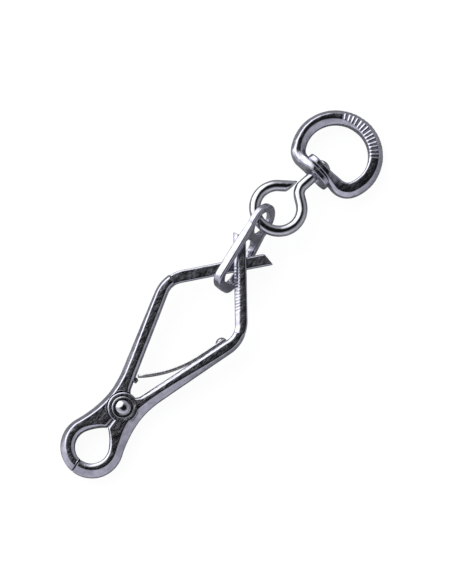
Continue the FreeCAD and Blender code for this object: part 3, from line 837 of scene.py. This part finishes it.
def make_ring():
    line = ring_line()
    sections = []
    for k, point in enumerate(line):
        run = min(k, RING_STATIONS - 1 - k) / RING_STATIONS
        sections.append(ring_section(point, run))
    mesh = skin("ring", planar_rows(line, sections))
    ripple(mesh, 3.0, 0.06, 6)
    back = 30.0
    cutter = lathe("countersink", [(0, -back), (COUNTERSINK, -back), (COUNTERSINK, 0.2),
                                   (SHANK_HOLE, 1.9), (SHANK_HOLE, 8), (0, 8)], 64)
    cutter.transform(Matrix.Translation((STRAP_FACE, 0, 0)) @ Matrix.Rotation(math.pi / 2, 4, "Y"))
    mesh = combine(mesh, cutter, "DIFFERENCE")
    ring = make_object("ring", mesh, RING)
    finish_piece(ring, FORGED, "ring", "swivel_ring")


# --------------------------------------------------------------- materials

def plated(name, colour, rough, grain, bump, mottle):
    """Bright plating: uneven reflections from two scales of bump, soft stains and fine scratches."""
    material = bpy.data.materials.new(name)
    material.use_nodes = True
    nodes = material.node_tree.nodes
    links = material.node_tree.links
    shader = nodes["Principled BSDF"]
    shader.inputs["Metallic"].default_value = 1

    place = nodes.new("ShaderNodeTexCoord")
    wide = nodes.new("ShaderNodeTexNoise")
    wide.inputs["Scale"].default_value = grain
    wide.inputs["Detail"].default_value = 3
    fine = nodes.new("ShaderNodeTexNoise")
    fine.inputs["Scale"].default_value = grain * 6
    fine.inputs["Detail"].default_value = 2
    scratch = nodes.new("ShaderNodeTexNoise")
    scratch.inputs["Scale"].default_value = grain * 2.5
    scratch.inputs["Detail"].default_value = 5
    stretch = nodes.new("ShaderNodeMapping")
    stretch.inputs["Scale"].default_value = (0.25, 3.0, 1.0)
    for texture in (wide, fine):
        links.new(place.outputs["Object"], texture.inputs["Vector"])
    links.new(place.outputs["Object"], stretch.inputs["Vector"])
    links.new(stretch.outputs["Vector"], scratch.inputs["Vector"])

    tone = nodes.new("ShaderNodeValToRGB")
    tone.color_ramp.elements[0].position = 0.3
    tone.color_ramp.elements[1].position = 0.7
    dark = tuple(c * mottle for c in colour)
    tone.color_ramp.elements[0].color = (*dark, 1)
    tone.color_ramp.elements[1].color = (*colour, 1)
    links.new(wide.outputs[0], tone.inputs[0])
    links.new(tone.outputs[0], shader.inputs["Base Color"])

    gloss = nodes.new("ShaderNodeMapRange")
    gloss.inputs["To Min"].default_value = rough * 0.6
    gloss.inputs["To Max"].default_value = rough * 1.8
    gloss.inputs["From Min"].default_value = 0.3
    gloss.inputs["From Max"].default_value = 0.7
    links.new(scratch.outputs[0], gloss.inputs["Value"])
    links.new(gloss.outputs[0], shader.inputs["Roughness"])

    low = nodes.new("ShaderNodeBump")
    low.inputs["Strength"].default_value = bump
    low.inputs["Distance"].default_value = 0.0004
    high = nodes.new("ShaderNodeBump")
    high.inputs["Strength"].default_value = bump * 0.5
    high.inputs["Distance"].default_value = 0.0001
    links.new(wide.outputs[0], low.inputs["Height"])
    links.new(fine.outputs[0], high.inputs["Height"])
    links.new(low.outputs[0], high.inputs["Normal"])
    links.new(high.outputs[0], shader.inputs["Normal"])
    return material


FORGED = plated("plated_forging", (0.55, 0.55, 0.63), 0.14, 420, 0.26, 0.7)
BRIGHT = plated("plated_rod", (0.62, 0.62, 0.67), 0.10, 260, 0.12, 0.8)
SPRING = plated("spring_steel", (0.72, 0.72, 0.75), 0.2, 380, 0.15, 0.8)


# ------------------------------------------------------ camera, light, floor

AXIS_ANGLE = 51.0
ELEVATION = 80.0
DISTANCE = 1.9
FRAME_HEIGHT = 0.2415
LOOK_RIGHT = 0.0423
LOOK_UP = 0.0479


def camera_axes():
    """Right and forward along the floor, then the picture's up and the way to the camera."""
    turn = math.radians(AXIS_ANGLE)
    lift = math.radians(ELEVATION)
    right = Vector((math.cos(turn), -math.sin(turn), 0))
    forward = Vector((math.sin(turn), math.cos(turn), 0))
    up = Vector((0, 0, 1))
    towards = up * math.sin(lift) - forward * math.cos(lift)
    screen_up = forward * math.sin(lift) + up * math.cos(lift)
    return right, forward, screen_up, towards


def make_camera():
    right, forward, screen_up, towards = camera_axes()
    target = PIVOT + right * LOOK_RIGHT + forward * LOOK_UP / math.sin(math.radians(ELEVATION))
    data = bpy.data.cameras.new("camera")
    data.sensor_fit = "VERTICAL"
    data.angle = 2 * math.atan(FRAME_HEIGHT / 2 / DISTANCE)
    data.clip_start = 0.01
    camera = bpy.data.objects.new("camera", data)
    turn = Matrix((right, screen_up, towards)).transposed().to_4x4()
    camera.matrix_world = Matrix.Translation(target + towards * DISTANCE) @ turn
    bpy.context.scene.collection.objects.link(camera)
    bpy.context.scene.camera = camera


# soft studio round the object: brightness by height of the direction, -1 down to +1 up
LIGHT_STOPS = ((0.0, 0.50), (0.42, 0.50), (0.52, 0.60), (0.62, 0.78), (0.74, 0.66), (0.86, 0.34),
               (0.918, 0.02), (1.0, 0.006))
WINDOW_HEIGHT = 32.0
WINDOW_BRIGHT = 2.4
WINDOW_EDGES = (0.62, 0.93)
FRONT_FILL = 0.35


def make_world():
    """Soft studio light from all round, one broad window and a little fill from near by."""
    right, forward = camera_axes()[:2]
    lift = math.radians(WINDOW_HEIGHT)
    window_side = (forward - right).normalized() * math.cos(lift) + Vector((0, 0, math.sin(lift)))
    near_side = (-forward - right).normalized()
    world = bpy.data.worlds.new("studio")
    bpy.context.scene.world = world
    world.use_nodes = True
    nodes = world.node_tree.nodes
    links = world.node_tree.links
    nodes.clear()

    def math_node(operation, *values):
        node = nodes.new("ShaderNodeMath")
        node.operation = operation
        for socket, value in zip(node.inputs, values):
            if isinstance(value, float):
                socket.default_value = value
            else:
                links.new(value, socket)
        return node.outputs[0]

    def facing(direction):
        node = nodes.new("ShaderNodeVectorMath")
        node.operation = "DOT_PRODUCT"
        node.inputs[1].default_value = direction
        links.new(place.outputs["Generated"], node.inputs[0])
        return node.outputs["Value"]

    place = nodes.new("ShaderNodeTexCoord")
    split = nodes.new("ShaderNodeSeparateXYZ")
    links.new(place.outputs["Generated"], split.inputs[0])
    ramp = nodes.new("ShaderNodeValToRGB")
    links.new(math_node("MULTIPLY_ADD", split.outputs["Z"], 0.5, 0.5), ramp.inputs[0])
    for _ in LIGHT_STOPS[2:]:
        ramp.color_ramp.elements.new(0.5)
    for element, (height, bright) in zip(ramp.color_ramp.elements, LIGHT_STOPS):
        element.position = height
        element.color = (bright * 0.92, bright * 0.92, bright, 1)

    window = nodes.new("ShaderNodeMapRange")
    window.interpolation_type = "SMOOTHSTEP"
    window.inputs["From Min"].default_value = WINDOW_EDGES[0]
    window.inputs["From Max"].default_value = WINDOW_EDGES[1]
    window.inputs["To Max"].default_value = WINDOW_BRIGHT
    links.new(facing(window_side), window.inputs["Value"])

    fill = math_node("MULTIPLY", facing(near_side), FRONT_FILL)
    room = nodes.new("ShaderNodeBackground")
    glow = nodes.new("ShaderNodeBackground")
    both = nodes.new("ShaderNodeAddShader")
    out = nodes.new("ShaderNodeOutputWorld")
    links.new(ramp.outputs[0], room.inputs[0])
    links.new(math_node("ADD", fill, 1.0), room.inputs[1])
    links.new(window.outputs[0], glow.inputs[1])
    links.new(room.outputs[0], both.inputs[0])
    links.new(glow.outputs[0], both.inputs[1])
    links.new(both.outputs[0], out.inputs[0])


FLOOR_SEEN = 0.94
FLOOR_SHADE = 0.12
FLOOR_MIRRORED = 0.5
FLOOR_SIDE = 3.0
FLOOR_DROP = 0.0001


def make_floor():
    """Pale floor that the metal mirrors as the darker bench of a small studio."""
    mesh = bpy.data.meshes.new("floor")
    corners = [(FLOOR_SIDE * x, FLOOR_SIDE * y, 0) for x, y in ((-1, -1), (1, -1), (1, 1), (-1, 1))]
    mesh.from_pydata(corners, [], [(0, 1, 2, 3)])
    floor = bpy.data.objects.new("floor", mesh)
    floor.location.z = cad_box[0][2] - FLOOR_DROP
    bpy.context.scene.collection.objects.link(floor)
    material = bpy.data.materials.new("floor")
    material.use_nodes = True
    nodes = material.node_tree.nodes
    links = material.node_tree.links
    seen = nodes["Principled BSDF"]
    seen.inputs["Base Color"].default_value = (FLOOR_SHADE, FLOOR_SHADE, FLOOR_SHADE, 1)
    seen.inputs["Roughness"].default_value = 0.9
    seen.inputs["Specular IOR Level"].default_value = 0
    seen.inputs["Emission Color"].default_value = (1, 1, 1, 1)
    seen.inputs["Emission Strength"].default_value = FLOOR_SEEN
    mirrored = nodes.new("ShaderNodeBsdfDiffuse")
    mirrored.inputs["Color"].default_value = (FLOOR_MIRRORED, FLOOR_MIRRORED, FLOOR_MIRRORED, 1)
    path = nodes.new("ShaderNodeLightPath")
    either = nodes.new("ShaderNodeMixShader")
    links.new(path.outputs["Is Camera Ray"], either.inputs[0])
    links.new(mirrored.outputs[0], either.inputs[1])
    links.new(seen.outputs[0], either.inputs[2])
    links.new(either.outputs[0], nodes["Material Output"].inputs["Surface"])
    floor.data.materials.append(material)


bpy.context.scene.view_settings.view_transform = "Standard"
make_arms()
make_pivot()
make_leaf()
make_leaf_rivet()
make_link()
make_eye()
make_ring()
make_camera()
make_world()
make_floor()
